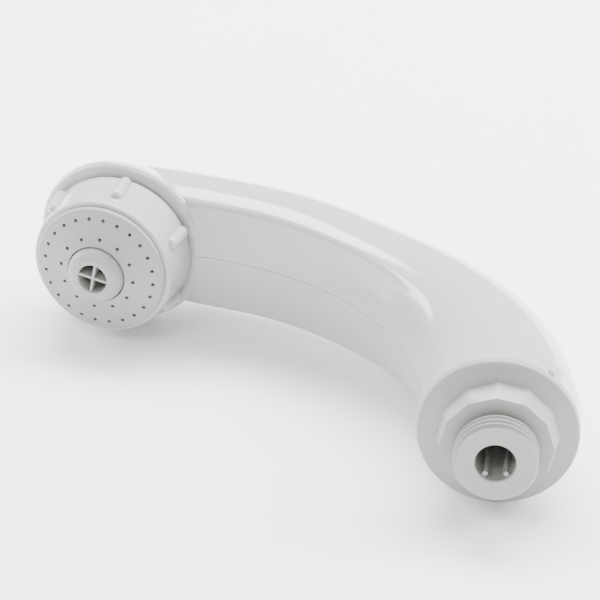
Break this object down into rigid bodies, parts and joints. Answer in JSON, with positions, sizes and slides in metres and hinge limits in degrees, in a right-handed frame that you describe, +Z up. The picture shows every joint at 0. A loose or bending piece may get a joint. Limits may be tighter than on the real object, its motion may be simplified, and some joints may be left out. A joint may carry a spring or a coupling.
{
  "type": "handheld shower head",
  "caption": "Hooked handheld shower handset with a ribbed turning spray collar, a fixed centre nozzle and a threaded hose connector.",
  "frame": {"origin": "centre of the foot of the whole handset as it lies on its side", "axes": "+Z up, square to the mid-plane of the hook; the hose connector points along -Y and the spray head sits towards -X, leaning away from it"},
  "size_m": [0.137, 0.125, 0.0428],
  "materials": {
    "white_gloss": "polished moulded plastic",
    "face_grey": "satin moulded plastic",
    "connector_grey": "satin moulded plastic",
    "core_grey": "plain moulded plastic",
    "tube_plastic": "extruded plastic",
    "seal_rubber": "moulded rubber",
    "screw_steel": "zinc-plated steel",
    "spring_steel": "drawn spring wire"
  },
  "bodies": {
    "handset": {"handle_upper_half": "white_gloss", "handle_lower_half": "white_gloss", "flush_plug": "white_gloss", "end_screw": "screw_steel", "mid_screw": "screw_steel", "neck_screw": "screw_steel", "end_screw_cap": "white_gloss", "mid_screw_cap": "white_gloss", "neck_screw_cap": "white_gloss", "water_tube": "tube_plastic", "tube_inlet_oring": "seal_rubber", "tube_outlet_oring": "seal_rubber", "barrel_oring": "seal_rubber", "hose_connector": "connector_grey", "head_body": "core_grey", "plate_seal": "seal_rubber", "holding_ring": "spring_steel", "centre_nozzle": "face_grey", "seal_spring": "spring_steel", "detent_spring": "spring_steel"},
    "collar": {"ribbed_collar": "white_gloss", "spray_face": "face_grey", "diverter_disc": "core_grey"},
    "inlet_cup": {"seal_cup": "seal_rubber"},
    "detent": {"detent_pin": "core_grey"}
  },
  "joints": [
    {"name": "collar_turn", "type": "hinge", "parent": "handset", "child": "collar", "pos_m": [-0.04983, 0.03288, 0.0214], "axis": [-0.3123, -0.95, 0], "range_deg": [0, 60]},
    {"name": "cup_press", "type": "slide", "parent": "handset", "child": "inlet_cup", "axis": [0.3123, 0.95, 0], "range_m": [0, 0.0012], "stiffness_N_per_m": 400, "springref_m": -0.001, "deforming": ["seal_spring"]},
    {"name": "detent_press", "type": "slide", "parent": "handset", "child": "detent", "axis": [0.3123, 0.95, 0], "range_m": [0, 0.0012], "stiffness_N_per_m": 600, "springref_m": -0.001, "deforming": ["detent_spring"]}
  ]
}
